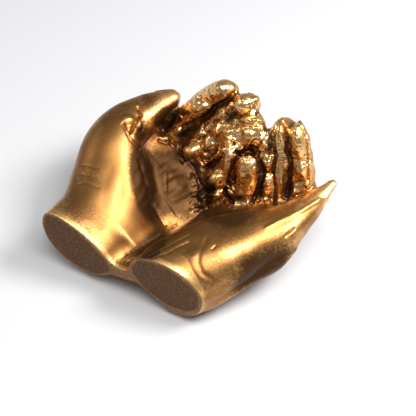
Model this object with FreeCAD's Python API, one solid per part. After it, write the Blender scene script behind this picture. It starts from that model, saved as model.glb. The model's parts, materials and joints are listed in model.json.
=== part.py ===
"""A pair of cupped hands in glazed ceramic, palms up, cut off square above the wrists.

Each hand is a hollow palm with a luted-on thumb and four luted-on fingers. The two palms stand
side by side, little fingers together, on flats ground on the backs of the hands. A clay web
joins them between the wrists, and an oval slab closes the open end of each wrist.

Millimetres. +X towards the right hand, +Y from the wrists to the fingertips, +Z up. The origin
is on the ground under the middle of the whole sculpture.
"""
import FreeCAD, Part

import math
import os

V = FreeCAD.Vector

# Driving sizes of the sculpture
palm_breadth = 80.0     # one palm across the knuckles
hand_reach = 125.0      # from the saw cut at the wrists to the furthest fingertip
cup_height = 92.0       # from the ground to the highest fingertip
wrist_breadth = 50.0    # one wrist at the saw cut
palm_thickness = 24.0   # the flat of the palm, palm side to back
thumb_breadth = 23.0    # thumb across its middle joint
index_breadth = 17.5
middle_breadth = 18.0
ring_breadth = 17.0
little_breadth = 15.5
web_breadth = 11.0      # clay web between the wrists
wall = 6.5              # wall of the hollow palms
rim = 1.6               # lip of the wrist that stands round the closing slab
cap_thickness = 5.0     # slab that closes the wrist
cap_recess = 0.6        # the slab lies this far inside the lip
ground_depth = 2.5      # ground off the backs of the hands for the hands to stand
overrun = 200.0         # how far a cutting block reaches past the work
saw_cut_angle = 11.3    # the wrists' common cut, degrees off square to the hands

# Corner points round each section, and the rings that round off a tip, up to an angle
corners_round = 12
tip_rings = 3
last_tip_angle = 86

# A section row: side, reach and height of its middle, tilt in degrees (its outer edge up),
# then how far it runs outwards, inwards, up and down from that middle. Side follows
# palm_breadth, reach hand_reach, height cup_height, and the four radii wrist_breadth,
# palm_thickness or thumb_breadth.
right_heel_shares = [
    (0.350, -0.120, 0.280, -24, 0.48, 0.46, 0.41, 0.26),
    (0.352, 0.030, 0.280, -24, 0.48, 0.46, 0.41, 0.28),
    (0.380, 0.120, 0.290, -14, 0.48, 0.50, 0.40, 0.34),
    (0.445, 0.216, 0.326, 0, 0.48, 0.52, 0.41, 0.42),
    (0.525, 0.328, 0.370, 0, 0.48, 0.50, 0.38, 0.44),
    (0.610, 0.440, 0.402, 0, 0.42, 0.44, 0.34, 0.42),
]
right_thumb_shares = [
    (0.700, 0.545, 0.424, 0, 0.68, 0.72, 0.56, 0.70),
    (0.790, 0.650, 0.450, 0, 0.56, 0.58, 0.48, 0.60),
    (0.820, 0.752, 0.495, 0, 0.46, 0.48, 0.40, 0.50),
    (0.838, 0.832, 0.530, 0, 0.34, 0.36, 0.27, 0.36),
    (0.845, 0.895, 0.562, 0, 0.18, 0.20, 0.14, 0.20),
]
left_heel_shares = [
    (0.345, -0.180, 0.370, 35, 0.51, 0.54, 0.18, 0.44),
    (0.350, -0.050, 0.365, 35, 0.51, 0.54, 0.20, 0.44),
    (0.388, 0.050, 0.340, 26, 0.52, 0.54, 0.26, 0.45),
    (0.440, 0.176, 0.320, 22, 0.50, 0.58, 0.36, 0.44),
    (0.530, 0.288, 0.360, 18, 0.50, 0.56, 0.38, 0.44),
    (0.655, 0.392, 0.440, 12, 0.43, 0.48, 0.36, 0.40),
]
left_thumb_shares = [
    (0.750, 0.488, 0.533, 0, 0.82, 0.74, 0.66, 0.74),
    (0.800, 0.584, 0.556, 0, 0.61, 0.76, 0.54, 0.80),
    (0.770, 0.680, 0.580, 0, 0.50, 0.68, 0.44, 0.76),
    (0.713, 0.776, 0.600, 0, 0.40, 0.50, 0.34, 0.56),
    (0.660, 0.850, 0.612, 0, 0.26, 0.28, 0.22, 0.30),
]
palm_shares = [
    (0.340, 0.096, 0.230, 0, 0.27, 0.33, 0.58, 0.62),
    (0.380, 0.224, 0.190, 8, 0.38, 0.42, 0.50, 0.80),
    (0.420, 0.360, 0.180, 16, 0.45, 0.50, 0.50, 0.84),
    (0.445, 0.480, 0.195, 20, 0.49, 0.53, 0.54, 0.84),
    (0.455, 0.592, 0.225, 22, 0.50, 0.54, 0.60, 0.70),
    (0.450, 0.704, 0.261, 22, 0.47, 0.52, 0.52, 0.56),
]
web_shares = [
    (0.020, -0.060, 0.240, 0.50, 0.30),
    (0.015, 0.060, 0.232, 0.55, 0.32),
    (0.010, 0.180, 0.215, 0.65, 0.38),
    (0.000, 0.300, 0.190, 0.65, 0.40),
]

# A finger row: side, reach and height of its root joint, of its two middle joints and of the
# middle of its tip. They follow palm_breadth, hand_reach and cup_height.
right_finger_shares = {
    "index": [(0.775, 0.620, 0.293), (0.675, 0.864, 0.380), (0.575, 0.920, 0.630), (0.480, 0.952, 0.859)],
    "middle": [(0.550, 0.640, 0.220), (0.475, 0.800, 0.337), (0.413, 0.880, 0.576), (0.350, 0.928, 0.805)],
    "ring": [(0.338, 0.640, 0.190), (0.390, 0.752, 0.304), (0.330, 0.824, 0.489), (0.285, 0.864, 0.696)],
    "little": [(0.200, 0.656, 0.163), (0.285, 0.704, 0.272), (0.274, 0.744, 0.446), (0.255, 0.752, 0.580)],
}
left_finger_shares = {
    "index": [(0.588, 0.736, 0.217), (0.500, 0.840, 0.467), (0.325, 0.896, 0.707), (0.188, 0.920, 0.850)],
    "middle": [(0.375, 0.720, 0.185), (0.213, 0.832, 0.522), (0.025, 0.896, 0.761), (-0.038, 0.920, 0.850)],
    "ring": [(0.200, 0.704, 0.163), (0.050, 0.792, 0.446), (-0.088, 0.840, 0.685), (-0.175, 0.864, 0.793)],
    "little": [(0.038, 0.656, 0.152), (-0.038, 0.720, 0.359), (-0.075, 0.752, 0.511), (-0.081, 0.760, 0.620)],
}
finger_breadths = {
    "index": index_breadth,
    "middle": middle_breadth,
    "ring": ring_breadth,
    "little": little_breadth,
}

# How thick a finger is at its joints and half way along the bones, against its breadth
joint_girth_share = 0.54
bone_girth_share = 0.50
tip_girth_share = 0.48
pad_girth_share = 0.57

# How far below its root joint a finger starts inside the palm
buried_depth_share = 0.35

# How far the rounded ends of the thumb and of the palm run on past their last section
thumb_nose_share = 0.30
palm_nose_share = 0.45


def section(middle, along, tilt, outwards, inwards, up, down):
    """The corner points of a closed smooth ring of four quarter ellipses round a middle, square
    to a direction. A cubic curve runs a little inside its corners, so they stand out by swell."""
    across = along.cross(V(0, 0, 1)).normalize()
    rise = across.cross(along).normalize()
    turn = math.radians(tilt)
    first = across * math.cos(turn) + rise * math.sin(turn)
    second = rise * math.cos(turn) - across * math.sin(turn)
    swell = 3 / (2 + math.cos(2 * math.pi / corners_round))
    ring = []
    for count in range(corners_round):
        angle = 2 * math.pi * count / corners_round
        wide = (outwards if math.cos(angle) > 0 else inwards) * math.cos(angle) * swell
        high = (up if math.sin(angle) > 0 else down) * math.sin(angle) * swell
        ring.append(middle + first * wide + second * high)
    return ring


def skin(rings):
    """A solid under a cubic surface, closed round its rings of corner points and running
    smoothly along them, with a flat face at each end."""
    along = 3
    knots_along = len(rings) - along + 1
    surface = Part.BSplineSurface()
    surface.buildFromPolesMultsKnots(
        [[ring[corner] for ring in rings] for corner in range(corners_round)],
        [1] * (corners_round + 1),
        [along + 1] + [1] * (knots_along - 2) + [along + 1],
        list(range(corners_round + 1)),
        list(range(knots_along)),
        True,
        False,
        along,
        along,
    )
    faces = [surface.toShape()]
    for end in surface.bounds()[2:]:
        faces.append(Part.Face(Part.Wire(surface.vIso(end).toShape())))
    shell = Part.makeShell(faces)
    shell.sewShape()
    solid = Part.Solid(Part.Shell(shell.Faces))
    if solid.Volume < 0:
        solid.reverse()
    return solid


def directions(middles):
    """The way the spine runs at each of its points, from the neighbours of the point."""
    ways = []
    for number in range(len(middles)):
        before = middles[max(number - 1, 0)]
        after = middles[min(number + 1, len(middles) - 1)]
        ways.append((after - before).normalize())
    return ways


def limb(rows, nose):
    """A solid through sections. A row is a middle, a tilt and four radii. A limb with a nose
    ends in half an ellipsoid of that length: rings whose radii fall with the cosine of an
    angle as they move on with its sine."""
    middles = [row[0] for row in rows]
    ways = directions(middles)
    rings = [section(row[0], way, *row[1:]) for row, way in zip(rows, ways)]
    if nose > 0:
        last = rows[-1]
        way = ways[-1]
        for count in range(1, tip_rings + 1):
            angle = math.radians(last_tip_angle) * count / tip_rings
            middle = last[0] + way * (nose * math.sin(angle))
            radii = [radius * math.cos(angle) for radius in last[2:]]
            rings.append(section(middle, way, last[1], *radii))
    return skin(rings)


def place(side, shares):
    """A point from its shares of the breadth, the reach and the height, on either side."""
    return V(side * shares[0] * palm_breadth, shares[1] * hand_reach, shares[2] * cup_height)


def rows_from(side, table, wide, high, inset=0.0):
    """Section rows in millimetres. The left hand's rows have outwards on the other side."""
    rows = []
    for row in table:
        outwards = row[4] * wide - inset
        inwards = row[5] * wide - inset
        up = row[6] * high - inset
        down = row[7] * high - inset
        if side < 0:
            outwards, inwards = inwards, outwards
        rows.append((place(side, row[:3]), side * row[3], outwards, inwards, up, down))
    return rows


def finger(side, joints, breadth):
    """A finger: rings at its joints and half way along its bones, and a rounded tip. Its root
    starts inside the palm, towards the middle of the palm, where the palm cuts it off."""
    root, knuckle, end_joint, tip = [place(side, joint) for joint in joints]
    thick = joint_girth_share * breadth
    slim = bone_girth_share * breadth
    pad = pad_girth_share * breadth
    inwards = (place(side, palm_shares[2]) - root).normalize()
    buried = root + inwards * breadth - V(0, 0, buried_depth_share * breadth)
    rows = [
        (buried, 0, slim, slim, slim, slim),
        (root, 0, thick, thick, thick, thick),
        ((root + knuckle) / 2, 0, thick, thick, thick, thick),
        (knuckle, 0, thick, thick, thick, thick),
        ((knuckle + end_joint) / 2, 0, slim, slim, thick, slim),
        (end_joint, 0, slim, slim, thick, slim),
        ((end_joint + tip) / 2, 0, slim, slim, pad, slim),
        (tip, 0, tip_girth_share * breadth, tip_girth_share * breadth, slim, slim),
    ]
    return limb(rows, pad)


def block(low, high):
    """A box between two corners."""
    return Part.makeBox(high.x - low.x, high.y - low.y, high.z - low.z, low)


def saw_block(depth):
    """All that lies on the arm's side of the saw cut, moved a depth into the hands."""
    piece = block(V(-overrun, -overrun, -overrun), V(overrun, 0, overrun))
    piece.rotate(V(0, 0, 0), V(0, 0, 1), saw_cut_angle)
    way = V(-math.sin(math.radians(saw_cut_angle)), math.cos(math.radians(saw_cut_angle)), 0)
    piece.translate(way * depth)
    return piece


def main_solid(shape):
    """The largest solid of a cut, without the slivers that a cut can leave."""
    return max(shape.Solids, key=lambda solid: solid.Volume)


def halfspace_past(point, way):
    """A block that holds all that lies past a point in a direction."""
    piece = Part.makeBox(2 * overrun, 2 * overrun, 2 * overrun, V(-overrun, -overrun, 0))
    piece.Placement = FreeCAD.Placement(point, FreeCAD.Rotation(V(0, 0, 1), way))
    return piece


def hand(side, heel_shares, thumb_shares):
    """The palm with its hollow and its closing slab, and the thumb."""
    heel = rows_from(side, heel_shares, wrist_breadth, wrist_breadth)
    thumb = rows_from(side, thumb_shares, thumb_breadth, thumb_breadth)
    column = limb(heel + thumb, thumb_nose_share * thumb_breadth)
    slab_rows = rows_from(side, palm_shares, palm_breadth, palm_thickness)
    slab = limb(slab_rows, palm_nose_share * palm_thickness)
    seam_middle = thumb[0][0]
    seam_way = (thumb[1][0] - heel[-1][0]).normalize()
    beyond = halfspace_past(seam_middle, seam_way)
    body = column.cut(beyond).fuse(slab)
    other_side = block(V(-overrun, -overrun, -overrun), V(0, overrun, overrun))
    if side < 0:
        other_side = block(V(0, -overrun, -overrun), V(overrun, overrun, overrun))
    under = block(V(-overrun, -overrun, -overrun), V(overrun, overrun, ground_depth))
    body = body.cut([other_side, under, saw_block(0)])
    inside = limb(rows_from(side, heel_shares, wrist_breadth, wrist_breadth, wall), 0)
    hollow = inside.cut(saw_block(cap_recess))
    mouth = limb(rows_from(side, heel_shares, wrist_breadth, wrist_breadth, rim), 0)
    mouth = mouth.common(saw_block(cap_recess + cap_thickness))
    cap = mouth.cut([saw_block(cap_recess), other_side])
    palm = main_solid(body.cut([hollow, mouth]))
    thumb_piece = main_solid(column.common(beyond).cut(palm))
    return palm, thumb_piece, main_solid(cap)


right_palm, right_thumb, right_cap = hand(1, right_heel_shares, right_thumb_shares)
left_palm, left_thumb, left_cap = hand(-1, left_heel_shares, left_thumb_shares)

web_rows = []
for row in web_shares:
    half_breadth = web_breadth * row[3]
    half_height = web_breadth * row[4]
    web_rows.append((place(1, row[:3]), 0, half_breadth, half_breadth, half_height, half_height))
web = limb(web_rows, 0).cut([saw_block(0), right_palm, left_palm, right_cap, left_cap])

pieces = {
    "right_palm": right_palm,
    "left_palm": left_palm,
    "right_thumb": right_thumb,
    "left_thumb": left_thumb,
    "right_wrist_cap": right_cap,
    "left_wrist_cap": left_cap,
    "wrist_web": main_solid(web),
}
for side, word, table in ((1, "right", right_finger_shares), (-1, "left", left_finger_shares)):
    for name, joints in table.items():
        blank = finger(side, joints, finger_breadths[name])
        beside = [piece for piece in pieces.values() if piece.BoundBox.intersect(blank.BoundBox)]
        pieces[word + "_" + name] = main_solid(blank.cut(beside))

os.makedirs("parts", exist_ok=True)
whole = Part.makeCompound(list(pieces.values())).optimalBoundingBox(False, False)
to_origin = V(-(whole.XMin + whole.XMax) / 2, -(whole.YMin + whole.YMax) / 2, -whole.ZMin)
print("origin moved by", to_origin, "size", whole.XLength, whole.YLength, whole.ZLength)
for name, shape in pieces.items():
    shape.translate(to_origin)
    print(name, "valid", shape.isValid(), "solids", len(shape.Solids), "cm3", round(shape.Volume / 1000, 1))
    shape.exportStep(os.path.join("parts", name + ".step"))
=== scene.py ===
"""A pair of cupped hands cast in ceramic and gilded, standing palms up on a pale studio floor.

Metres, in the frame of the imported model: +X towards the right hand, +Y from the wrists to the
fingertips, +Z up, with the origin on the ground under the middle of the sculpture.
"""

import json
import math

import bmesh
import bpy
import numpy as np
import openvdb
from mathutils import Matrix, Vector

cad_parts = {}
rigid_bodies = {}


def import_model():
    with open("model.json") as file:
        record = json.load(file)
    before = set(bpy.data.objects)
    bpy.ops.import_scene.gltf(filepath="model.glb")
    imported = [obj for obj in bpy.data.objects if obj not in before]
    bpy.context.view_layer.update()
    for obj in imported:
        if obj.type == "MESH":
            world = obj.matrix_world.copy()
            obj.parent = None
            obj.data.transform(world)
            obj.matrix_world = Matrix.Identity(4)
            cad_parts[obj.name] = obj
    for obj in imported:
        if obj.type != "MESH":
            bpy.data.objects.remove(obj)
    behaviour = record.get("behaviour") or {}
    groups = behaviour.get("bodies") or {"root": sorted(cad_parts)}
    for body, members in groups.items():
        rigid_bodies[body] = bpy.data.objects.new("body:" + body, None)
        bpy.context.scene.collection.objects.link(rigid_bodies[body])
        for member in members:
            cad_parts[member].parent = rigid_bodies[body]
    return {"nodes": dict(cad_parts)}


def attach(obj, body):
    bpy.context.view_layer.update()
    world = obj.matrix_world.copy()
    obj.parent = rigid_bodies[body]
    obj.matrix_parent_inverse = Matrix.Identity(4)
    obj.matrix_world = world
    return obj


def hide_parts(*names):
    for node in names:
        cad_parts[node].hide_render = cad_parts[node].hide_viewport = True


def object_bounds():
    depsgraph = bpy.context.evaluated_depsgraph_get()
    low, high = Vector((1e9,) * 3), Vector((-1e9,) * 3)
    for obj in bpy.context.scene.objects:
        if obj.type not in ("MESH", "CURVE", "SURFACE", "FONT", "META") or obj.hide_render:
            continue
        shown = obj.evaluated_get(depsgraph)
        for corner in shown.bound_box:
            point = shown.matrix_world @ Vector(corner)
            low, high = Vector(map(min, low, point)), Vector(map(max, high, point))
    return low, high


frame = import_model()
cad_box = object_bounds()


# The camera. It looks down on the hands from the wrists' end, from the right hand's side, as
# the photograph does, through a long lens.

photo_width = 416
view_turn = math.radians(40.3)
view_rise = math.radians(47.0)
view_distance = 0.850
view_scale = 1650.0     # pixels to a metre in the middle of the picture
look_at = np.array((0.01332, 0.00739, 0.0311))
film_width = 36.0

view_back = np.array((
    math.sin(view_turn) * math.cos(view_rise),
    -math.cos(view_turn) * math.cos(view_rise),
    math.sin(view_rise),
))
view_right = np.array((math.cos(view_turn), math.sin(view_turn), 0.0))
view_up = np.cross(view_back, view_right)
eye = look_at + view_back * view_distance
focal_pixels = view_scale * view_distance


def seen(points):
    """Where points show in the photograph, in pixels: the offset from the eye across and down,
    times the focal length over the depth."""
    away = points - eye
    depth = -(away @ view_back)
    across = photo_width / 2 + focal_pixels * (away @ view_right) / depth
    down = photo_width / 2 - focal_pixels * (away @ view_up) / depth
    return np.stack([across, down], axis=-1)


camera_data = bpy.data.cameras.new("camera")
camera_data.sensor_width = film_width
camera_data.lens = film_width * focal_pixels / photo_width
camera = bpy.data.objects.new("camera", camera_data)
camera.matrix_world = Matrix((
    (view_right[0], view_up[0], view_back[0], eye[0]),
    (view_right[1], view_up[1], view_back[1], eye[1]),
    (view_right[2], view_up[2], view_back[2], eye[2]),
    (0, 0, 0, 1),
))
bpy.context.scene.collection.objects.link(camera)
bpy.context.scene.camera = camera


# The palms and wrists. Each is one hollow press-moulded shell, from the saw cut across the
# wrist to the knuckles, with the ball of the thumb. The plaster mould was taken from life, so
# the skin is one soft surface with no edges but the saw cut and the ground foot.

palm_breadth = 0.0800
hand_reach = 0.1250
cup_height = 0.0920
wrist_breadth = 0.0500
palm_thickness = 0.0240
thumb_breadth = 0.0230
ground_depth = 0.0025
saw_cut_angle = math.radians(11.3)
# the middle of the saw cut, level with the underside of the cast before it was ground
cast_origin = np.array((0.000803, -0.058309, -ground_depth))

corners_round = 12
tip_rings = 3
last_tip_angle = math.radians(86)

# side, reach and height of a section's middle, its tilt, then how far it runs outwards,
# inwards, up and down, in shares of the sizes above
right_heel_shares = [
    (0.350, -0.120, 0.280, -24, 0.48, 0.46, 0.41, 0.26),
    (0.352, 0.030, 0.280, -24, 0.48, 0.46, 0.41, 0.28),
    (0.380, 0.120, 0.290, -14, 0.48, 0.50, 0.40, 0.34),
    (0.445, 0.216, 0.326, 0, 0.48, 0.52, 0.41, 0.42),
    (0.525, 0.328, 0.370, 0, 0.48, 0.50, 0.38, 0.44),
    (0.610, 0.440, 0.402, 0, 0.42, 0.44, 0.34, 0.42),
]
left_heel_shares = [
    (0.345, -0.180, 0.370, 35, 0.51, 0.54, 0.18, 0.44),
    (0.350, -0.050, 0.365, 35, 0.51, 0.54, 0.20, 0.44),
    (0.388, 0.050, 0.340, 26, 0.52, 0.54, 0.26, 0.45),
    (0.440, 0.176, 0.320, 22, 0.50, 0.58, 0.36, 0.44),
    (0.530, 0.288, 0.360, 18, 0.50, 0.56, 0.38, 0.44),
    (0.655, 0.392, 0.440, 12, 0.43, 0.48, 0.36, 0.40),
]
palm_shares = [
    (0.340, 0.096, 0.230, 0, 0.27, 0.33, 0.58, 0.62),
    (0.380, 0.224, 0.190, 8, 0.38, 0.42, 0.50, 0.80),
    (0.420, 0.360, 0.180, 16, 0.45, 0.50, 0.50, 0.84),
    (0.445, 0.480, 0.195, 20, 0.49, 0.53, 0.54, 0.84),
    (0.455, 0.592, 0.225, 22, 0.50, 0.54, 0.60, 0.70),
    (0.450, 0.704, 0.261, 22, 0.47, 0.52, 0.52, 0.56),
]
palm_nose = 0.45 * palm_thickness

samples_round = 96
samples_a_span = 12


def section(middle, way, tilt, outwards, inwards, up, down):
    """The corner points of a ring of four quarter ellipses round a middle, square to a way:
    middle + wide cos a first + high sin a second, swollen because a cubic curve runs inside
    its corners."""
    across = np.cross(way, (0, 0, 1))
    across /= np.linalg.norm(across)
    rise = np.cross(across, way)
    first = across * math.cos(tilt) + rise * math.sin(tilt)
    second = rise * math.cos(tilt) - across * math.sin(tilt)
    swell = 3 / (2 + math.cos(2 * math.pi / corners_round))
    angle = np.arange(corners_round) * (2 * math.pi / corners_round)
    wide = np.where(np.cos(angle) > 0, outwards, inwards) * np.cos(angle) * swell
    high = np.where(np.sin(angle) > 0, up, down) * np.sin(angle) * swell
    return middle + wide[:, None] * first + high[:, None] * second


def clamped_weights(count, places):
    """How much of each of a clamped cubic spline's points goes into the curve at each place,
    by the Cox and de Boor rule on the knots 0 0 0 0 1 2 and so on."""
    inner = count - 3
    knots = np.concatenate([[0] * 3, np.arange(inner + 1), [inner] * 3]).astype(float)
    places = np.clip(places, 0, inner - 1e-9)[:, None]
    weights = ((places >= knots[:-1]) & (places < knots[1:])).astype(float)
    for degree in range(1, 4):
        low, high = knots[:-degree - 1], knots[degree + 1:]
        run_up, run_down = knots[degree:-1] - low, high - knots[1:-degree]
        rising = np.where(run_up > 0, (places - low) / np.maximum(run_up, 1e-12), 0)
        falling = np.where(run_down > 0, (high - places) / np.maximum(run_down, 1e-12), 0)
        weights = rising * weights[:, :-1] + falling * weights[:, 1:]
    return weights


def skin(rings):
    """A closed cubic surface of two parameters over rings of corner points: uniform round the
    rings, clamped along them, with a flat fan at each end. Gives points, quads and triangles."""
    rings = np.array(rings)
    spans = len(rings) - 3
    along = clamped_weights(len(rings), np.linspace(0, spans, samples_a_span * spans + 1))
    steps = np.arange(samples_round) * (corners_round / samples_round)
    start = np.floor(steps).astype(int)
    part = steps - start
    blend = np.stack([
        (1 - part) ** 3 / 6,
        (3 * part ** 3 - 6 * part ** 2 + 4) / 6,
        (-3 * part ** 3 + 3 * part ** 2 + 3 * part + 1) / 6,
        part ** 3 / 6,
    ], axis=1)
    around = np.zeros((samples_round, corners_round))
    for shift in range(4):
        around[np.arange(samples_round), (start + shift) % corners_round] += blend[:, shift]
    surface = np.einsum("vr,uc,rcx->vux", along, around, rings)
    rows, columns = surface.shape[:2]
    points = np.concatenate([surface.reshape(-1, 3), surface[[0, -1]].mean(axis=1)])
    row, column = np.meshgrid(np.arange(rows - 1), np.arange(columns), indexing="ij")
    after = (column + 1) % columns
    here, ahead = row * columns, (row + 1) * columns
    quads = np.stack([here + column, here + after, ahead + after, ahead + column], axis=-1).reshape(-1, 4)
    ring = np.arange(columns)
    following = (ring + 1) % columns
    last = (rows - 1) * columns
    first_fan = np.stack([following, ring, np.full(columns, rows * columns)], axis=1)
    last_fan = np.stack([last + ring, last + following, np.full(columns, rows * columns + 1)], axis=1)
    triangles = np.concatenate([first_fan, last_fan])
    return points.astype(np.float32), quads.astype(np.uint32), triangles.astype(np.uint32)


def place(side, shares):
    """A point from its shares of the breadth, the reach and the height, which come first in a
    row, on the side of the right hand for 1 and of the left hand for -1."""
    return cast_origin + np.array((side * palm_breadth, hand_reach, cup_height)) * np.array(shares[:3])


def rows_from(side, table, wide, high, inset=0.0):
    """Section rows in metres, each radius less the inset. The left hand's rows have outwards on
    the other side."""
    rows = []
    for *middle, tilt, outwards, inwards, up, down in table:
        if side < 0:
            outwards, inwards = inwards, outwards
        radii = (outwards * wide - inset, inwards * wide - inset, up * high - inset, down * high - inset)
        rows.append((place(side, middle), side * math.radians(tilt), *radii))
    return rows


def limb(rows, nose):
    """The skin through sections, rounded off at its end by half an ellipsoid: rings whose
    radii fall with the cosine of an angle as they move on with its sine."""
    middles = [row[0] for row in rows]
    rings = []
    for number, row in enumerate(rows):
        way = middles[min(number + 1, len(rows) - 1)] - middles[max(number - 1, 0)]
        way /= np.linalg.norm(way)
        rings.append(section(row[0], way, *row[1:]))
    if nose > 0:
        for count in range(1, tip_rings + 1):
            angle = last_tip_angle * count / tip_rings
            radii = [radius * math.cos(angle) for radius in rows[-1][2:]]
            rings.append(section(rows[-1][0] + way * (nose * math.sin(angle)), way, rows[-1][1], *radii))
    return skin(rings)


# The cast is worked out as depth under its skin on a cubic grid, because moulded flesh runs
# from one form into the next. A form's own surface is made first, then turned into depths,
# which are true within the two bands.
grid_step = 0.0007
outer_band = 0.0110
inner_band = 0.0140
margin = 0.0040

grid_low = np.array(cad_box[0]) - margin
grid_size = np.ceil((np.array(cad_box[1]) - np.array(cad_box[0]) + 2 * margin) / grid_step).astype(int)
grid_place = openvdb.createLinearTransform(voxelSize=grid_step)


def depths(form):
    """The distance from every grid point to a closed surface, below zero inside it."""
    points, quads, triangles = form
    level = openvdb.FloatGrid.createLevelSetFromPolygons(
        (points - grid_low).astype(np.float32), triangles, quads, grid_place,
        outer_band / grid_step, inner_band / grid_step,
    )
    values = np.full(grid_size, outer_band, np.float32)
    level.copyToArray(values)
    return values


def joined(one, other, fillet):
    """Both forms in one, with a fillet where they meet: the smaller of two distances, less a
    rounding that is largest where they are equal."""
    share = np.clip(0.5 + 0.5 * (other - one) / fillet, 0, 1)
    return other + (one - other) * share - fillet * share * (1 - share)


def cut_away(one, other, fillet):
    """The first form without what the other holds, with the edge rounded."""
    return -joined(-one, other, fillet)


thenar_fillet = 0.0100      # between the heel and the flat of a hand
hands_fillet = 0.0030       # between the two hands


# The thumbs. Each is cast apart from the palm and luted to it at the root joint, and carries on
# the line of the heel, so one skin runs through the heel's sections and the thumb's.

right_thumb_shares = [
    (0.700, 0.545, 0.424, 0, 0.68, 0.72, 0.56, 0.70),
    (0.790, 0.650, 0.450, 0, 0.56, 0.58, 0.48, 0.60),
    (0.820, 0.752, 0.495, 0, 0.46, 0.48, 0.40, 0.50),
    (0.838, 0.832, 0.530, 0, 0.34, 0.36, 0.27, 0.36),
    (0.845, 0.895, 0.562, 0, 0.18, 0.20, 0.14, 0.20),
]
left_thumb_shares = [
    (0.750, 0.488, 0.533, 0, 0.82, 0.74, 0.66, 0.74),
    (0.800, 0.584, 0.556, 0, 0.61, 0.76, 0.54, 0.80),
    (0.770, 0.680, 0.580, 0, 0.50, 0.68, 0.44, 0.76),
    (0.713, 0.776, 0.600, 0, 0.40, 0.50, 0.34, 0.56),
    (0.660, 0.850, 0.612, 0, 0.26, 0.28, 0.22, 0.30),
]
thumb_nose = 0.30 * thumb_breadth


def column(side, heel_shares, thumb_shares):
    """The wrist, the heel and the thumb of a hand as one limb."""
    heel = rows_from(side, heel_shares, wrist_breadth, wrist_breadth)
    return limb(heel + rows_from(side, thumb_shares, thumb_breadth, thumb_breadth), thumb_nose)


def palm_slab(side):
    """The flat of a hand, which the column of the thumb grows out of."""
    return limb(rows_from(side, palm_shares, palm_breadth, palm_thickness), palm_nose)


# The web between the wrists: a roll of clay laid in the fork and smoothed over both heels,
# which ties the two hands together.

web_breadth = 0.0110
web_fillet = 0.0110

# side, reach and height of a section's middle, then its half breadth and half thickness
web_shares = [
    (0.020, -0.060, 0.240, 0.50, 0.30),
    (0.015, 0.060, 0.232, 0.55, 0.32),
    (0.010, 0.180, 0.215, 0.65, 0.38),
    (0.000, 0.300, 0.190, 0.65, 0.40),
]
web_rows = [
    (place(1, middle), 0.0, *(share * web_breadth for share in (flank, flank, thick, thick)))
    for *middle, flank, thick in web_shares
]


# The fingers, cast apart because of their undercuts and luted on at the knuckles. They curl up
# side by side and the left hand's lie partly behind the right hand's.

index_breadth = 0.0175
middle_breadth = 0.0180
ring_breadth = 0.0170
little_breadth = 0.0155
finger_breadths = {
    "index": index_breadth, "middle": middle_breadth, "ring": ring_breadth, "little": little_breadth,
}

# side, reach and height of the root joint, of the two middle joints and of the tip's middle
right_finger_shares = {
    "index": [(0.775, 0.620, 0.293), (0.675, 0.864, 0.380), (0.575, 0.920, 0.630), (0.480, 0.952, 0.859)],
    "middle": [(0.550, 0.640, 0.220), (0.475, 0.800, 0.337), (0.413, 0.880, 0.576), (0.350, 0.928, 0.805)],
    "ring": [(0.338, 0.640, 0.190), (0.390, 0.752, 0.304), (0.330, 0.824, 0.489), (0.285, 0.864, 0.696)],
    "little": [(0.200, 0.656, 0.163), (0.285, 0.704, 0.272), (0.274, 0.744, 0.446), (0.255, 0.752, 0.580)],
}
left_finger_shares = {
    "index": [(0.588, 0.736, 0.217), (0.500, 0.840, 0.467), (0.325, 0.896, 0.707), (0.188, 0.920, 0.850)],
    "middle": [(0.375, 0.720, 0.185), (0.213, 0.832, 0.522), (0.025, 0.896, 0.761), (-0.038, 0.920, 0.850)],
    "ring": [(0.200, 0.704, 0.163), (0.050, 0.792, 0.446), (-0.088, 0.840, 0.685), (-0.175, 0.864, 0.793)],
    "little": [(0.038, 0.656, 0.152), (-0.038, 0.720, 0.359), (-0.075, 0.752, 0.511), (-0.081, 0.760, 0.620)],
}
finger_fillet = 0.0045
root_fillet = 0.0035

# shares of a finger's breadth: its half breadth at the joints, between them, under the tip and
# at its end, and how deep its root is buried in the palm
joint_share, bone_share, tip_pad_share, end_share, buried_share = 0.54, 0.50, 0.57, 0.48, 0.35


def finger(joints, breadth, palm_middle):
    """A finger's limb: rings at its joints and half way along its bones, and a rounded tip."""
    root, knuckle, end_joint, tip = joints
    thick, slim, pad = joint_share * breadth, bone_share * breadth, tip_pad_share * breadth
    end = end_share * breadth
    inwards = (palm_middle - root) / np.linalg.norm(palm_middle - root)
    buried = root + inwards * breadth - np.array((0, 0, buried_share * breadth))
    rows = [
        (buried, 0.0, slim, slim, slim, slim),
        (root, 0.0, thick, thick, thick, thick),
        ((root + knuckle) / 2, 0.0, thick, thick, thick, thick),
        (knuckle, 0.0, thick, thick, thick, thick),
        ((knuckle + end_joint) / 2, 0.0, slim, slim, thick, slim),
        (end_joint, 0.0, slim, slim, thick, slim),
        ((end_joint + tip) / 2, 0.0, slim, slim, pad, slim),
        (tip, 0.0, end, end, slim, slim),
    ]
    return limb(rows, pad)


finger_joints = {}
for side, hand, table in ((1, "right", right_finger_shares), (-1, "left", left_finger_shares)):
    for name, joints in table.items():
        finger_joints[hand + "_" + name] = (side, name, np.array([place(side, joint) for joint in joints]))


# The cast as it comes from the moulds and the luting: all forms in one skin, ground flat under
# the hands and sawn off flat across the wrists.

saw_edge = 0.0008
ground_edge = 0.0010


def grid_line(axis):
    """Where the grid points lie along an axis, shaped to spread over the whole grid."""
    places = grid_low[axis] + np.arange(grid_size[axis]) * grid_step
    return places.reshape([-1 if axis == other else 1 for other in range(3)])


def past_plane(way, offset):
    """The distance past a plane at every grid point: the point times the way, less the offset."""
    steps = sum((grid_line(axis) * way[axis]).astype(np.float32) for axis in range(3))
    return steps - np.float32(offset)


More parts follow.
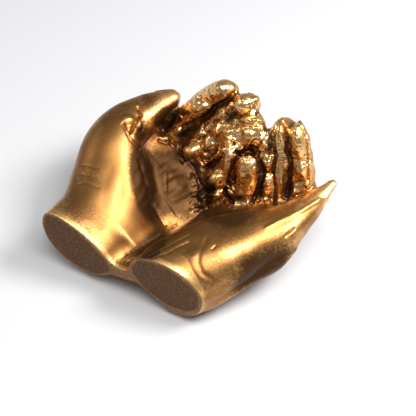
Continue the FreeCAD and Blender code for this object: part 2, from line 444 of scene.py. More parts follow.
def sampled(values, points):
    """A grid's values at points between its own, by straight blending in three directions."""
    spot = np.clip((points - grid_low) / grid_step, 0, grid_size - 1.001)
    start = np.floor(spot).astype(int)
    part = spot - start
    total = np.zeros(len(points))
    for corner in np.ndindex(2, 2, 2):
        weight = np.prod(np.where(corner, part, 1 - part), axis=1)
        total += weight * values[tuple((start + corner).T)]
    return total


def skin_of(values):
    """The surface where a grid's values are zero, as points and quads that face outwards."""
    level = openvdb.FloatGrid(outer_band)
    level.copyFromArray(np.ascontiguousarray(values, np.float32))
    level.transform = grid_place
    points, quads = level.convertToQuads(0.0)
    points = points.astype(float) + grid_low
    quads = quads.astype(int)
    corners = points[quads]
    volume = np.einsum("ij,ij->i", corners[:, 0], np.cross(corners[:, 1], corners[:, 2])).sum()
    volume += np.einsum("ij,ij->i", corners[:, 0], np.cross(corners[:, 2], corners[:, 3])).sum()
    return points, quads if volume > 0 else quads[:, ::-1]


def normals_of(points, quads):
    """A point's normal: the sum of the cross products of the diagonals of the quads round it."""
    across = np.cross(points[quads[:, 2]] - points[quads[:, 0]], points[quads[:, 3]] - points[quads[:, 1]])
    total = np.zeros_like(points)
    for axis in range(3):
        for corner in range(4):
            total[:, axis] += np.bincount(quads[:, corner], across[:, axis], len(points))
    return total / np.maximum(np.linalg.norm(total, axis=1, keepdims=True), 1e-12)


sides = {"right": 1, "left": -1}
heel_tables = {"right": right_heel_shares, "left": left_heel_shares}
thumb_tables = {"right": right_thumb_shares, "left": left_thumb_shares}

# towards the outer edge of each hand, between these distances from the middle plane, the heel
# meets the flat of the hand in a tighter fillet
edge_from, edge_to = 0.042, 0.060
edge_tightening = 0.9


def ease(value, low, high):
    """0 below low, 1 above high, and a smooth step between them."""
    part = np.clip((value - low) / (high - low), 0, 1)
    return part * part * (3 - 2 * part)


sideways = np.abs(grid_line(0) - cast_origin[0])
tightened = 1 - edge_tightening * ease(sideways, edge_from, edge_to)
thenar_fillets = (thenar_fillet * tightened).astype(np.float32)

column_depths = {}
slab_depths = {}
cast = None
for hand, side in sides.items():
    column_depths[hand] = depths(column(side, heel_tables[hand], thumb_tables[hand]))
    slab_depths[hand] = depths(palm_slab(side))
    form = joined(column_depths[hand], slab_depths[hand], thenar_fillets)
    cast = form if cast is None else joined(cast, form, hands_fillet)
hands_only = cast
web_depths = depths(limb(web_rows, 0))
cast = joined(cast, web_depths, web_fillet)

finger_depths = {}
all_fingers = None
for name, (side, kind, joints) in finger_joints.items():
    form = depths(finger(joints, finger_breadths[kind], place(side, palm_shares[2])))
    finger_depths[name] = form
    all_fingers = form if all_fingers is None else joined(all_fingers, form, finger_fillet)
cast = joined(cast, all_fingers, root_fillet)


sight_reach = 0.09      # how far a line of sight is followed before and behind the middle


def ray_through(pixel):
    """Points down the line of sight of a pixel, half a grid step apart."""
    across, down = pixel[0] - photo_width / 2, pixel[1] - photo_width / 2
    way = -view_back * focal_pixels + view_right * across - view_up * down
    way /= np.linalg.norm(way)
    first, last = view_distance - sight_reach, view_distance + sight_reach
    return eye + way * np.arange(first, last, 0.5 * grid_step)[:, None]


def ball(middle, radius):
    """The distance from a ball at every grid point."""
    square = sum((grid_line(axis) - middle[axis]) ** 2 for axis in range(3))
    return (np.sqrt(square) - radius).astype(np.float32)


# Where one could look through between the fingers, a ball of wax was pressed into the gap.
# The last four close the corner between the left thumb and the index finger.
plugs = [
    (248, 150), (233, 190), (234, 183), (250, 148),
    (162, 130), (163, 127), (169, 120), (174, 112),
]
plug_cover = 0.0022
plug_fillet = 0.0040
for pixel in plugs:
    line = ray_through(pixel)
    gaps = sampled(cast, line)
    if gaps.min() > -plug_cover:
        closest = line[gaps.argmin()]
        cast = joined(cast, ball(closest, max(gaps.min(), 0) + plug_cover), plug_fillet)

# The casting was rubbed down along its lower right side and round the fingertips until it stood
# as the photograph shows it: where a line of sight on that outline still runs inside the cast,
# the skin is pressed in.
right_outline = [
    (215, 304), (230, 297), (250, 284), (262, 279), (278, 270.5), (293.5, 261), (301, 250),
    (306, 240), (308.8, 230.3), (316.5, 220.7), (324, 207), (330.8, 193),
]
tip_outline = [
    (208.7, 84.5), (218, 80.3), (225.8, 79.7), (233, 83), (241, 93), (246.6, 91.7), (254, 95),
    (259, 101.5), (260, 110), (263.6, 123.3), (271, 125.8), (280.7, 118.2), (290, 119),
    (296.8, 120), (302.5, 126), (307, 135.6), (311, 149), (313, 164), (314.4, 179),
]
side_press = 0.0100
tip_press = 0.0060
press_limit = 0.0045
press_share = 0.7

for outline, breadth in ((right_outline, side_press), (tip_outline, tip_press)):
    for pixel in outline * 2:
        line = ray_through(pixel)
        inside = sampled(cast, line)
        deepest = line[inside.argmin()]
        amount = np.float32(np.clip(-inside.min(), 0, press_limit) * press_share)
        cast = cast + amount * np.exp(-((ball(deepest, 0.0) / breadth) ** 2))

ground = past_plane((0, 0, 1), 0)
saw_way = np.array((-math.sin(saw_cut_angle), math.cos(saw_cut_angle), 0))
sawn = past_plane(saw_way, cast_origin @ saw_way)
cast = cut_away(cut_away(cast, ground, ground_edge), sawn, saw_edge)

points, quads = skin_of(cast)
normals = normals_of(points, quads)


def mesh_of(name, points, faces):
    """A mesh object at the origin, from a list of faces."""
    mesh = bpy.data.meshes.new(name)
    mesh.from_pydata(points.tolist(), [], faces)
    piece = bpy.data.objects.new(name, mesh)
    bpy.context.scene.collection.objects.link(piece)
    return piece


# The work by hand on the wax, all of it laid out as the camera sees the sculpture: a pad is a
# soft lump, a fold is a groove. Both move the skin along its normal, where the camera sees it.

millimetre = 0.001
hidden_depth = 0.0030
full_facing = 0.35      # the cosine from which the skin faces the camera fully
bowl_middle = np.array((0.0, 0.0, 0.055))
facing_in, facing_out = 0.15, 0.65      # cosines to the way out from the middle of the bowl
calm_shares = {"left_index": 0.55, "right_index": 0.75, "right_middle": 0.55, "right_little": 0.40}
calm_reach = 0.0040


def cells_and_depths(points):
    """The photograph's pixel that each point falls on, as one number, and its distance."""
    cell = np.clip(seen(points).astype(int), 0, photo_width - 1)
    return cell[:, 1] * photo_width + cell[:, 0], -((points - eye) @ view_back)


nearest = np.full(photo_width * photo_width, np.inf)
np.minimum.at(nearest, *cells_and_depths(points))


def towards_bowl(points, normals):
    """1 where the skin faces the middle of the bowl, 0 on the backs of the hands."""
    away = (points - bowl_middle) / np.linalg.norm(points - bowl_middle, axis=1, keepdims=True)
    return 1 - ease(np.einsum("ij,ij->i", normals, away), facing_in, facing_out)


def calmed(points):
    """How much less the longer, plainer fingers are creased: their share on their own skin."""
    share = np.zeros(len(points))
    for name, most in calm_shares.items():
        share = np.maximum(share, most * ease(-sampled(finger_depths[name], points), -calm_reach, 0))
    return share


def in_sight(points, normals):
    """1 where the camera sees the skin, falling to 0 at its outline and behind other forms."""
    cell, depth = cells_and_depths(points)
    towards = (eye - points) / np.linalg.norm(eye - points, axis=1, keepdims=True)
    facing = np.einsum("ij,ij->i", normals, towards)
    return ease(facing, 0, full_facing) * (depth < nearest[cell] + hidden_depth)


def pad(spot, middle, half_length, half_breadth, turn):
    """A lump's height, 1 in its middle: (1 - r squared) squared, where r is 1 on an ellipse."""
    turn = math.radians(turn)
    along = (spot[:, 0] - middle[0]) * math.cos(turn) - (spot[:, 1] - middle[1]) * math.sin(turn)
    across = (spot[:, 0] - middle[0]) * math.sin(turn) + (spot[:, 1] - middle[1]) * math.cos(turn)
    round_ = (along / half_length) ** 2 + (across / half_breadth) ** 2
    return np.clip(1 - round_, 0, 1) ** 2


def distance_to_path(spot, path):
    """The least distance from each spot to a path of straight runs."""
    least = np.full(len(spot), np.inf)
    for start, end in zip(np.array(path[:-1], float), np.array(path[1:], float)):
        run = end - start
        part = np.clip((spot - start) @ run / (run @ run), 0, 1)
        least = np.minimum(least, np.linalg.norm(spot - start - part[:, None] * run, axis=1))
    return least


def fold(spot, path, half_width):
    """A groove's depth, 1 on its line: a bell curve of the distance over the half width."""
    return np.exp(-(distance_to_path(spot, path) / half_width) ** 2)


# The fingers were pinched into shape in soft wax, which left them creased like crumpled foil.
# Heights are in mm: of the creases, of the streaks over the palm, of the waves of the smooth
# skin and of the lines combed along the web.
pad_share = 1.9
fold_share = 1.25
fold_narrowing = 0.85
pinch_size = 0.0085
fine_pinch_share = 0.45
pinch_height = 0.95
fine_height_share = 0.30
crease_sharpness = 2.6
pinch_level = 0.25
foil_far, foil_near = -0.0035, -0.0005
palm_work = 0.40
streak_size = 0.0040
fine_streak_share = 0.5
fine_streaks = 0.6
tendon_stretch = np.array((1.0, 0.35, 1.0))
wax_wave = 0.26
wave_size = 0.0110
web_line_pitch = 0.0019
web_line_height = 0.10
web_line_slant = 0.35
web_line_reach = 0.0040

# middle across and down in the photograph, half length, half breadth, turn, height in mm
pads = [
    ((219, 89), 17, 10, 35, 1.0),      # left index, tip
    ((196, 109), 17, 10, 38, 1.5),     # left index, middle bone
    ((242, 104), 13, 10, 60, 1.2),
    ((256, 100), 7, 6, 80, 0.8),
    ((246, 120), 8, 4, 0, 1.0),
    ((258, 120), 6, 4, 0, 0.8),
    ((222, 132), 15, 8, 5, 2.0),
    ((249, 139), 14, 10, 45, 2.0),
    ((191, 151), 10, 9, 0, 2.5),
    ((208, 145), 8, 7, 30, 1.4),
    ((227, 166), 20, 6, 80, 1.6),
    ((214, 180), 12, 9, 35, 2.4),
    ((267, 145), 8, 7, 0, 1.2),
    ((268, 164), 9, 7, 90, 1.2),
    ((265, 185), 14, 8, 85, 1.2),
    ((298, 142), 19, 8, -80, 1.2),
    ((301, 171), 10, 7, 90, 1.0),
    ((296, 192), 7, 6, 30, 1.0),
    ((281, 132), 12, 5, 90, 0.8),
    ((281, 182), 14, 5, 90, 0.8),
    ((128, 120), 9, 6, 0, 1.0),        # left thumb, lumps beside its crease
    ((138, 124), 9, 5, 90, 1.0),
    ((115, 190), 30, 12, 80, 0.3),      # left wrist, front
    ((172, 184), 26, 15, -60, 0.8),    # left palm
    ((190, 245), 16, 12, 20, -0.7),    # right wrist, hollow beside the ball of the thumb
    ((238, 250), 36, 22, 20, 0.5),     # right hand, ball of the thumb
    ((289, 250), 18, 12, 45, 0.8),
]
# depth in mm, half width and the line across and down in the photograph
folds = [
    (1.4, 2.2, [(199, 97), (205, 102), (212, 107)]),
    (2.2, 2.6, [(180, 128), (192, 124), (206, 117), (216, 107), (226, 101), (235, 92)]),
    (1.2, 1.8, [(236, 117), (247, 114), (259, 113)]),
    (1.2, 1.8, [(236, 126), (246, 125), (262, 125)]),
    (1.6, 2.0, [(236, 152), (246, 154), (254, 151), (260, 143)]),
    (1.6, 2.2, [(196, 139), (206, 136), (212, 124), (222, 118), (232, 108)]),
    (1.8, 2.2, [(206, 160), (213, 153), (220, 146), (234, 143)]),
    (1.8, 2.2, [(203, 168), (213, 163), (222, 156)]),
    (2.0, 2.6, [(204, 192), (214, 191), (223, 189), (231, 193)]),
    (1.6, 1.8, [(232, 203), (229, 190), (229, 175), (233, 162), (240, 154)]),
    (2.0, 2.0, [(240, 154), (249, 150), (258, 157), (263, 170), (262, 180), (257, 193), (251, 203)]),
    (1.4, 1.6, [(257, 153), (266, 154), (274, 153)]),
    (1.2, 1.6, [(259, 174), (266, 173), (273, 174)]),
    (1.6, 1.6, [(275, 124), (273, 140), (276, 156), (273, 172), (276, 188), (275, 203)]),
    (1.6, 1.6, [(284, 122), (287, 138), (286, 150), (291, 162), (290, 178), (287, 196)]),
    (1.2, 1.0, [(300, 124), (306, 136), (308, 150), (308, 181)]),
    (0.5, 1.6, [(292, 159), (300, 161), (308, 160)]),
    (0.7, 1.6, [(292, 184), (303, 182)]),
    (1.5, 1.6, [(138, 108), (141, 115), (137, 120), (131, 132)]),      # left thumb
    (0.6, 1.4, [(141, 116), (144, 123), (143, 130)]),
    (1.3, 1.8, [(124, 125), (132, 140), (142, 149)]),
    (1.0, 1.6, [(176, 108), (158, 127), (147, 142), (142, 149)]),
    (1.6, 2.0, [(160, 140), (169, 142), (180, 152), (192, 166), (201, 189), (207, 209)]),
    (0.35, 1.4, [(150, 151), (166, 172), (166, 198), (177, 215)]),      # left palm
    (-0.6, 2.0, [(188, 155), (192, 166), (194, 177)]),
    (0.7, 2.4, [(140, 160), (146, 182), (150, 200), (165, 225)]),
    (0.12, 1.2, [(72, 168), (84, 165), (98, 168)]),                    # left wrist
    (0.10, 1.2, [(70, 176), (83, 174), (96, 178)]),
    (0.12, 1.2, [(72, 186), (86, 183), (99, 188)]),
    (0.35, 3.2, [(207, 238), (199, 254), (198, 263), (202, 273), (211, 279)]),   # right hand
    (-0.5, 2.2, [(266, 228), (279, 221), (301, 211), (319, 200)]),
    (0.8, 1.1, [(286, 236), (294, 229)]),
    (0.5, 0.9, [(212, 249), (216, 246)]),
    (0.6, 1.2, [(276, 264), (287, 257), (297, 252)]),
    (0.4, 1.0, [(124, 256), (152, 240), (178, 224)]),                   # web, drawn out by hand
    (0.5, 1.1, [(128, 262), (158, 244), (184, 229)]),
    (0.5, 1.0, [(134, 264), (163, 249), (190, 234)]),
    (0.4, 1.0, [(144, 262), (168, 253), (188, 241)]),
    (0.2, 2.4, [(184, 252), (192, 270), (205, 288)]),
]
# brown patches on the skin. They are partly umber left on it and partly painted shade, over the
# hollow of the left palm, in the gaps between the fingers and on the lower sides: middle, half
# length, half breadth, turn, how much
stains_and_shade = [
    ((176, 184), 52, 36, -60, 2.20),
    ((146, 186), 58, 20, -75, 2.40),
    ((164, 116), 22, 13, 40, 1.80),
    ((141, 132), 14, 10, 80, 1.40),
    ((232, 217), 44, 14, 5, 1.20),
    ((150, 248), 36, 20, 35, 1.40),
    ((206, 196), 18, 14, 60, 1.20),
    ((168, 121), 14, 10, 50, 2.00),
    ((187, 131), 20, 8, 32, 1.60),
    ((262, 180), 28, 7, 85, 1.70),
    ((212, 164), 16, 7, 35, 1.60),
    ((208, 190), 20, 9, 70, 1.60),
    ((237, 198), 13, 8, 0, 1.00),
    ((231, 117), 14, 7, 40, 1.10),
    ((270, 142), 20, 6, 85, 1.20),
    ((290, 160), 40, 4, 88, 1.10),
    ((262, 268), 60, 26, 35, 1.30),
    ((80, 215), 40, 24, -30, 0.55),
    ((150, 100), 34, 12, 12, 0.55),
    ((236, 232), 34, 14, 10, 0.50),
    ((100, 262), 60, 20, -40, 0.60),
    ((84, 176), 24, 20, 0, 0.50),
]


def ripple(points, size, seed):
    """Soft random waves from -1 to 1: random values on a lattice of that size, blended between
    its corners with a quintic ease."""
    lattice = np.random.default_rng(seed).uniform(-1, 1, (64, 64, 64))
    spot = points / size + 32.37
    start = np.floor(spot).astype(int)
    part = spot - start
    part = part ** 3 * (part * (part * 6 - 15) + 10)
    total = np.zeros(len(points))
    for corner in np.ndindex(2, 2, 2):
        weight = np.prod(np.where(corner, part, 1 - part), axis=1)
        total += weight * lattice[tuple(((start + corner) % 64).T)]
    return total


def crumple(points):
    """The height of pinched wax in mm: creases where two sizes of random waves cross zero."""
    large = 1 - crease_sharpness * np.abs(ripple(points, pinch_size, 3))
    small = 1 - crease_sharpness * np.abs(ripple(points, fine_pinch_share * pinch_size, 5))
    creases = -np.clip(large, 0, 1) ** 2 - fine_height_share * np.clip(small, 0, 1) ** 2
    return pinch_height * (creases + pinch_level)


# A nail and the wrinkles, in shares of the finger's radius, with their heights in mm
nail_reach = 4
nail_half_breadth, nail_half_length, nail_setback = 0.62, 0.85, 0.15
nail_height, nail_rim, nail_bevel = 0.50, 1.02, 0.12
groove_depth, groove_place, groove_width = 0.45, 1.08, 0.09
wrinkle_depth, wrinkles_round, wrinkle_spread = 0.12, 7, 0.55
back_from, back_fully = 0.2, 0.6
thumb_radius_share = 0.34


def nail_and_wrinkles(points, normals, end_joint, tip, middle, radius):
    """The height in mm of a nail, raised inside a groove, and of the wrinkles over the end
    joint, on the side of a finger that is turned away from the middle of the bowl."""
    bone = (tip - end_joint) / np.linalg.norm(tip - end_joint)
    back = end_joint - middle
    back -= bone * (back @ bone)
    back /= np.linalg.norm(back)
    across = np.cross(bone, back)
    away = points - tip
    along = away @ bone / radius
    side_step = away @ across / radius
    near_tip = np.linalg.norm(away, axis=1) < nail_reach * radius
    outside = ease(normals @ back, back_from, back_fully) * near_tip
    edge = np.maximum(np.abs(side_step) / nail_half_breadth, np.abs(along + nail_setback) / nail_half_length)
    groove = np.exp(-((edge - groove_place) / groove_width) ** 2)
    nail = nail_height * ease(nail_rim - edge, 0, nail_bevel) - groove_depth * groove
    from_joint = (points - end_joint) @ bone / radius
    rows = np.clip(np.cos(from_joint * wrinkles_round), 0, 1) ** 3
    wrinkle = -wrinkle_depth * rows * np.exp(-(from_joint / wrinkle_spread) ** 2)
    return outside * (nail + wrinkle)


spot = seen(points)
sight = in_sight(points, normals)
worked = np.zeros(len(points))
for *patch, amount in stains_and_shade[:2]:
    worked = np.maximum(worked, sight * pad(spot, *patch))
foil = ease(-sampled(all_fingers, points), foil_far, foil_near) * towards_bowl(points, normals)
height = crumple(points) * foil * (1 - calmed(points))
height = height + wax_wave * ripple(points, wave_size, 7) * (1 - foil)
streaks = ripple(points * tendon_stretch, streak_size, 11)
streaks = streaks + fine_streaks * ripple(points * tendon_stretch, fine_streak_share * streak_size, 13)
height += palm_work * worked * (1 - foil) * streaks
striation = np.exp(-((sampled(web_depths, points) / web_line_reach) ** 2))
web_lines = np.cos((points[:, 0] + web_line_slant * points[:, 1]) / web_line_pitch * math.tau)
height += web_line_height * striation * web_lines
for name, (side, kind, joints) in finger_joints.items():
    radius = 0.5 * finger_breadths[kind]
    height += nail_and_wrinkles(points, normals, joints[2], joints[3], bowl_middle, radius)
for hand, side in sides.items():
    ends = [place(side, row) for row in thumb_tables[hand][-2:]]
    height += nail_and_wrinkles(points, normals, *ends, bowl_middle, thumb_radius_share * thumb_breadth)
for *lump, tall in pads:
    height += pad_share * tall * sight * pad(spot, *lump)
for deep, half_width, path in folds:
    height -= fold_share * deep * sight * fold(spot, path, fold_narrowing * half_width)
points = points + normals * (height * millimetre)[:, None]
normals = normals_of(points, quads)

whole = mesh_of("cast", points, quads.tolist())


# The pieces as they were before luting. The cast is parted along the seams, each of which
# stands a little above the skin of the form that the piece was luted to.

crust = 0.0060
seam_lift = 0.0006
far = 0.3           # beyond the cast on every side
half_room = 0.2     # the depth of a block that takes in all of one side
pieces = {}


def parted(name, source, tool, operation):
    """A copy of a closed mesh that keeps what lies inside a tool, or outside it."""
    piece = bpy.data.objects.new(name, source.data)
    bpy.context.scene.collection.objects.link(piece)
    step = piece.modifiers.new("parting", "BOOLEAN")
    step.operation = operation
    step.object = tool
    step.solver = "MANIFOLD"
    mesh = bpy.data.meshes.new_from_object(piece.evaluated_get(bpy.context.evaluated_depsgraph_get()))
    mesh.name = name
    piece.modifiers.clear()
    piece.data = mesh
    return piece


def part_off(name, tool):
    """Takes the piece inside a tool off the cast."""
    global whole
    pieces[name] = parted(name, whole, tool, "INTERSECT")
    rest = parted("cast", whole, tool, "DIFFERENCE")
    bpy.data.objects.remove(whole)
    bpy.data.objects.remove(tool)
    whole = rest


def block_of(way, low, high):
    """A block of all that lies between two depths along a level way, far wider than the cast."""
    way = np.array(way, float)
    across = np.cross(way, (0, 0, 1.0))
    corners = [
        cast_origin + way * depth + across * side + np.array((0, 0, 1.0)) * rise
        for depth in (low, high) for side in (-far, far) for rise in (-far, far)
    ]
    faces = [(0, 1, 3, 2), (4, 6, 7, 5), (0, 4, 5, 1), (2, 3, 7, 6), (0, 2, 6, 4), (1, 5, 7, 3)]
    piece = mesh_of("block", np.array(corners), faces)
    mesh = bmesh.new()
    mesh.from_mesh(piece.data)
    bmesh.ops.recalc_face_normals(mesh, faces=mesh.faces)
    mesh.to_mesh(piece.data)
    mesh.free()
    return piece


def region(values):
    """A tool from a field that is below zero inside the region."""
    points, quads = skin_of(values)
    return mesh_of("region", points, quads.tolist())


part_off("wrist_web", region(np.maximum(web_depths - 0.5 * crust, seam_lift - hands_only)))
for name, own in finger_depths.items():
    beside = np.minimum.reduce([finger_depths[other] for other in finger_depths if other != name])
    part_off(name, region(np.maximum.reduce([own - beside, own - crust, seam_lift - hands_only])))
for hand, side in sides.items():
    heel_end = place(side, heel_tables[hand][-1])
    seam_middle = place(side, thumb_tables[hand][0])
    seam_way = place(side, thumb_tables[hand][1]) - heel_end
    seam_way /= np.linalg.norm(seam_way)
    beyond = past_plane(seam_way, seam_middle @ seam_way)
    inside = [column_depths[hand] - crust, -beyond, seam_lift - slab_depths[hand]]
    part_off(hand + "_thumb", region(np.maximum.reduce(inside)))
part_off("right_palm", block_of((1, 0, 0), 0, half_room))
pieces["left_palm"] = whole
whole.name = "left_palm"


# The open wrists. Each palm is hollow, and its mouth is bored out to a thin lip round the flat
# oval slab of clay that closes it.

wall = 0.0065
rim = 0.0016
cap_thickness = 0.0050
cap_recess = 0.0006
far_back = -0.1


def heel_core(name, hand, side, inset):
    """The heel of a hand as a closed mesh, drawn in all round by the inset."""
    rows = rows_from(side, heel_tables[hand], wrist_breadth, wrist_breadth, inset)
    points, quads, triangles = limb(rows, 0)
    return mesh_of(name, points, quads.tolist() + triangles.tolist())


caps = {}
for hand, side in sides.items():
    palm = pieces[hand + "_palm"]
    mouth = heel_core("mouth", hand, side, rim)
    mouth = parted("mouth", mouth, block_of(saw_way, far_back, cap_recess + cap_thickness), "INTERSECT")
    own_side = block_of((side, 0, 0), 0, half_room)
    palm = parted(hand + "_palm", palm, mouth, "DIFFERENCE")
    cap = parted("cap", mouth, block_of(saw_way, far_back, cap_recess), "DIFFERENCE")
    caps[hand + "_wrist_cap"] = parted(hand + "_wrist_cap", cap, own_side, "INTERSECT")
    hollow = heel_core("hollow", hand, side, wall)
    hollow = parted("hollow", hollow, block_of(saw_way, far_back, cap_recess), "DIFFERENCE")
    pieces[hand + "_palm"] = parted(hand + "_palm", palm, hollow, "DIFFERENCE")
kept = set((pieces | caps).values()) | set(frame["nodes"].values())
for piece in list(bpy.data.objects):
    if piece.type == "MESH" and piece not in kept:
        bpy.data.objects.remove(piece)

sharp_angle = math.radians(50)
for name, piece in (pieces | caps).items():
    piece.data.materials.clear()
    piece.data.shade_smooth()
    piece.data.set_sharp_from_angle(angle=sharp_angle)
    piece.name = "cast_" + name
    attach(piece, "root")
    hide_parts(name)
    "wrist_face" if name in caps else "antique_gold"


# The gilding. Gold leaf on umber size over the fired casting: rubbed bright on the ridges, with
# the umber glaze left in the hollows and creases. A painted highlight runs along the top of each
# wrist's lip. Brown patches over the palms and between the fingers are partly umber and partly
# painted shade. The fingers' leaf is given a paler gold that partly paints in their highlights.
# The sawn wrists are left matt and brown.

fine_blur, broad_blur = 3, 9        # in grid steps
fine_dip, broad_dip, raised_rub = 2.2, 2.1, 190
relief_limit = 0.0030
leaf_far, leaf_near = -0.0050, -0.0010
sawn_from, sawn_to = 0.0003, 0.0007
# a painted highlight along the top edge of each wrist's lip: how much it brightens the gold, where and how
# wide its band lies past the saw cut, and the upward tilts of the skin at which it begins and is full
lip_highlight, lip_highlight_place, lip_highlight_width = 0.6, 0.0016, 0.0014
lip_highlight_level, lip_highlight_upright = 0.1, 0.6


def softened(values, half):
    """A field smoothed by two running means along each axis, each 2 half + 1 cells wide."""
    width = 2 * half + 1
    for axis in (0, 1, 2, 0, 1, 2):
        edges = [(half + 1, half) if other == axis else (0, 0) for other in range(3)]
        total = np.cumsum(np.pad(values, edges, mode="edge"), axis=axis, dtype=np.float64)
        ahead = np.take(total, range(width, total.shape[axis]), axis=axis)
        behind = np.take(total, range(total.shape[axis] - width), axis=axis)
        values = ((ahead - behind) / width).astype(np.float32)
    return values


filled = np.clip(0.5 - cast / grid_step, 0, 1).astype(np.float32)
fine_fill = softened(filled, fine_blur)
broad_fill = softened(filled, broad_blur)


def read_vectors(mesh, name):
    """A vector of every vertex, one to a row."""
    values = np.empty(3 * len(mesh.vertices))
    mesh.vertices.foreach_get(name, values)
    return values.reshape(-1, 3)


def paint(piece):
    """Writes four values at each vertex. hollow is how much the skin dips into its surroundings, less
    a painted highlight along the top of the wrist lip. The brown patch value is how much brown is
    laid on it, partly glaze left on it and partly painted shade. foil is how crumpled its leaf is,
    and sawn is whether it lies on the saw cut."""
    mesh = piece.data
    points, normals = read_vectors(mesh, "co"), read_vectors(mesh, "normal")
    raised = np.clip(sampled(cast, points), -relief_limit, relief_limit)
    base = points - normals * raised[:, None]
    hollow = fine_dip * (sampled(fine_fill, base) - 0.5) + broad_dip * (sampled(broad_fill, base) - 0.5)
    hollow = hollow - raised_rub * raised
    cell, depth = cells_and_depths(base)
    shown = depth < nearest[cell] + hidden_depth
    spot = seen(base)
    # painted shade, partly umber: the brown patches, laid on where the camera sees the skin
    stain_and_shade = np.zeros(len(points))
    for *patch, amount in stains_and_shade:
        stain_and_shade += amount * shown * pad(spot, *patch)
    foil = ease(-sampled(all_fingers, points), leaf_far, leaf_near) * towards_bowl(points, normals)
    past_saw = (points - cast_origin) @ saw_way
    sawn = 1 - ease(past_saw, sawn_from, sawn_to)
    # A painted highlight: a band just past the saw cut is made brighter, on its upward-facing side only,
    # where the lip's edge catches the light.
    lip_highlight_band = np.exp(-(((past_saw - lip_highlight_place) / lip_highlight_width) ** 2))
    hollow -= lip_highlight * lip_highlight_band * ease(normals[:, 2], lip_highlight_level, lip_highlight_upright)
    for name, values in (("hollow", hollow), ("stain_and_shade", stain_and_shade), ("foil", foil), ("sawn", sawn)):
        layer = mesh.attributes.new(name, "FLOAT", "POINT")
        layer.data.foreach_set("value", values.astype(np.float32))


for piece in (pieces | caps).values():
    paint(piece)


class Wire:
    """An output of a node. Sums, differences and products add Math nodes."""
    def __init__(self, tree, socket=None):
        self.tree, self.socket = tree, socket

    def feed(self, made, values):
        """Gives the sockets of a node their values or wires."""
        for name, value in values.items():
            if isinstance(value, Wire):
                self.tree.links.new(value.socket, made.inputs[name])
            else:
                made.inputs[name].default_value = value

    def node(self, kind, settings, values, output=0):
        """Adds any node: its settings first, then the values or wires of its sockets."""
        made = self.tree.nodes.new(kind)
        for name, value in settings.items():
            setattr(made, name, value)
        self.feed(made, values)
        return Wire(self.tree, made.outputs[output])

    def maths(self, operation, first, second):
        return self.node("ShaderNodeMath", {"operation": operation}, {0: first, 1: second})

    def __add__(self, other):
        return self.maths("ADD", self, other)

    def __radd__(self, other):
        return self.maths("ADD", other, self)

    def __sub__(self, other):
        return self.maths("SUBTRACT", self, other)

    def __rsub__(self, other):
        return self.maths("SUBTRACT", other, self)

    def __mul__(self, other):
        return self.maths("MULTIPLY", self, other)

    def __rmul__(self, other):
        return self.maths("MULTIPLY", other, self)


def fresh_material(name):
    """A new material, the wire that its nodes are made with, and its shader."""
    material = bpy.data.materials.new(name)
    material.use_nodes = True
    return material, Wire(material.node_tree), material.node_tree.nodes["Principled BSDF"]


def eased(wire, low, high):
    """0 below low, 1 above high, and a smooth step between them."""
    settings = {"interpolation_type": "SMOOTHSTEP"}
    return wire.node("ShaderNodeMapRange", settings, {"Value": wire, "From Min": low, "From Max": high})


def blended(share, first, second):
    """The first colour at a share of 0, the second at 1."""
    return share.node("ShaderNodeMix", {"data_type": "RGBA"}, {0: share, 6: first, 7: second}, 2)


def clouds(bench, spot, size, detail):
    """Soft random clouds of a size in metres."""
    return bench.node("ShaderNodeTexNoise", {}, {"Vector": spot, "Scale": 1 / size, "Detail": detail})


def vertex_value(bench, name):
    """One of the values that paint wrote at the vertices."""
    return bench.node("ShaderNodeAttribute", {"attribute_name": name}, {}, "Fac")


bright_gold = (0.86, 0.49, 0.18, 1)
deep_gold = (0.33, 0.155, 0.046, 1)
# the dark brown of the patches, partly umber stain and partly painted shade
stain_and_shade_brown = (0.068, 0.030, 0.009, 1)
# the paler gold of the fingers' crumpled leaf, made paler still as a painted highlight on the fingers
foil_highlight_gold = (1.00, 0.63, 0.27, 1)
umber = (0.090, 0.032, 0.010, 1)
sawn_brown = (0.175, 0.074, 0.021, 1)
sawn_pale = (0.37, 0.19, 0.068, 1)
satin_rough, foil_rough, umber_rough, sawn_rough = 0.40, 0.20, 0.42, 0.60
stain_and_shade_rough, mottle_rough = 0.10, 0.12
umber_dulling, stain_and_shade_dulling = 0.30, 0.08
grain_size, grain_height, grain_strength = 0.0007, 0.0002, 0.3
facet_size, facet_warp, facet_height, facet_strength = 0.0042, 0.0036, 0.0009, 0.75
cloud_size = 0.0130
speck_size = 0.0012

# how much the clouds and the specks break up an edge between two tones, and where each tone
# begins and ends
worn_clouds, worn_specks = 1.05, 0.65
stain_and_shade_clouds, stain_and_shade_specks = 1.2, 0.8
# less umber is left on the fingers' leaf, partly clean leaf and partly a painted highlight; the skin outside
# the leaf is dulled towards deep gold
foil_clean_and_highlight, skin_dulled = 0.16, 0.72
umber_from, umber_to = 0.18, 0.85
dull_from, dull_to = -0.10, 0.60
stain_and_shade_from, stain_and_shade_to = 0.05, 0.95
pale_from, pale_to = 0.50, 0.72

gold, bench, shader = fresh_material("antique_gold")
spot_wire = bench.node("ShaderNodeTexCoord", {}, {}, "Object")
hollow = vertex_value(bench, "hollow")
foil_share = vertex_value(bench, "foil")
sawn_share = vertex_value(bench, "sawn")
mottle = clouds(bench, spot_wire, cloud_size, 4.0)
specks = clouds(bench, spot_wire, speck_size, 3.0)
worn = hollow + (mottle - 0.5) * worn_clouds + (specks - 0.5) * worn_specks
dirty = eased(worn - foil_clean_and_highlight * foil_share, umber_from, umber_to)
dulled = eased(worn + skin_dulled * (1 - foil_share), dull_from, dull_to)
# painted shade, partly umber: the brown patches, broken up by the clouds and specks, darken the gold
broken_stain_and_shade = vertex_value(bench, "stain_and_shade") + (mottle - 0.5) * stain_and_shade_clouds + (specks - 0.5) * stain_and_shade_specks
stain_and_shade_share = eased(broken_stain_and_shade, stain_and_shade_from, stain_and_shade_to)
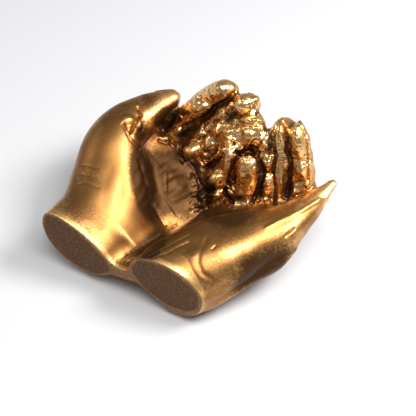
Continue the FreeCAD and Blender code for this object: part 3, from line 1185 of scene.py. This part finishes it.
# the fingers' leaf takes the paler gold, partly a painted highlight
leaf = blended(foil_share, bright_gold, foil_highlight_gold)
leaf = blended(dulled, leaf, deep_gold)
leaf = blended(stain_and_shade_share, leaf, stain_and_shade_brown)
leaf = blended(dirty, leaf, umber)
bare = blended(eased(specks, pale_from, pale_to), sawn_brown, sawn_pale)
drift = bench.node("ShaderNodeTexNoise", {}, {"Vector": spot_wire, "Scale": 1 / facet_size}, 1)
warped = bench.node(
    "ShaderNodeVectorMath", {"operation": "MULTIPLY_ADD"},
    {0: drift, 1: (facet_warp, facet_warp, facet_warp), 2: spot_wire},
)
facets = bench.node("ShaderNodeTexVoronoi", {}, {"Vector": warped, "Scale": 1 / facet_size}, "Distance")
creased = bench.node(
    "ShaderNodeBump", {},
    {"Height": facets * foil_share, "Strength": facet_strength, "Distance": facet_height},
)
grains = clouds(bench, spot_wire, grain_size, 2.0)
grain = bench.node(
    "ShaderNodeBump", {},
    {"Height": grains, "Strength": grain_strength, "Distance": grain_height, "Normal": creased},
)
polish = satin_rough + stain_and_shade_rough * stain_and_shade_share + (foil_rough - satin_rough) * foil_share
polish = polish + mottle_rough * (mottle - 0.5) + (umber_rough - satin_rough) * dirty
bench.feed(shader, {
    "Base Color": blended(sawn_share, leaf, bare),
    "Metallic": (1 - umber_dulling * dirty) * (1 - stain_and_shade_dulling * stain_and_shade_share) * (1 - sawn_share),
    "Roughness": polish * (1 - sawn_share) + sawn_rough * sawn_share,
    "Normal": grain,
})

# The slabs are left as matt clay under a thin wash of umber, inside the gilded lip.
smear_from, smear_to = 0.42, 0.62
saw_marks_height, saw_marks_strength = 0.0004, 0.5

wrist_face, bench, shader = fresh_material("wrist_face")
spot_wire = bench.node("ShaderNodeTexCoord", {}, {}, "Object")
specks = clouds(bench, spot_wire, speck_size, 3.0)
smears = clouds(bench, spot_wire, cloud_size, 3.0)
bare = blended(eased(specks * 0.5 + smears * 0.5, smear_from, smear_to), sawn_brown, sawn_pale)
grain = bench.node(
    "ShaderNodeBump", {},
    {"Height": specks, "Strength": saw_marks_strength, "Distance": saw_marks_height},
)
bench.feed(shader, {"Base Color": bare, "Roughness": sawn_rough, "Normal": grain})

for name, piece in (pieces | caps).items():
    piece.data.materials.append(wrist_face if name in caps else gold)


# The studio: a floor of pale grey paper, three softboxes round the sculpture, and a pale room
# that lights it less than it shows behind it.

floor_reach = 3
paper_grey = (0.55, 0.55, 0.56, 1)
paper_rough = 0.9
room_colour = (0.94, 0.95, 0.97, 1)
room_light, room_shown = 0.25, 0.70

floor_corners = np.array([(-1, -1, 0), (1, -1, 0), (1, 1, 0), (-1, 1, 0)]) * floor_reach
studio_floor = mesh_of("studio_floor", floor_corners, [(0, 1, 2, 3)])
paper, bench, shader = fresh_material("paper")
bench.feed(shader, {"Base Color": paper_grey, "Roughness": paper_rough})
studio_floor.data.materials.append(paper)


def softbox(name, azimuth, elevation, distance, width, height, power):
    """An area light that faces the origin, from angles in degrees and a distance."""
    data = bpy.data.lights.new(name, "AREA")
    data.shape = "RECTANGLE"
    data.size, data.size_y, data.energy = width, height, power
    lamp = bpy.data.objects.new(name, data)
    a, e = math.radians(azimuth), math.radians(elevation)
    lamp.location = Vector((math.sin(a) * math.cos(e), -math.cos(a) * math.cos(e), math.sin(e))) * distance
    lamp.rotation_euler = lamp.location.to_track_quat("Z", "Y").to_euler()
    bpy.context.scene.collection.objects.link(lamp)


softbox("key", 128, 52, 0.9, 0.34, 0.34, 9)
softbox("fill", -60, 35, 1.0, 0.5, 0.5, 1.5)
softbox("front", 58, 68, 1.1, 0.70, 0.55, 11)

world = bpy.data.worlds.new("studio")
world.use_nodes = True
bench = Wire(world.node_tree)
to_camera = bench.node("ShaderNodeLightPath", {}, {}, "Is Camera Ray")
backdrop = world.node_tree.nodes["Background"]
bench.feed(backdrop, {"Color": room_colour, "Strength": to_camera * room_shown + room_light})
bpy.context.scene.world = world
bpy.context.scene.view_settings.view_transform = "Standard"
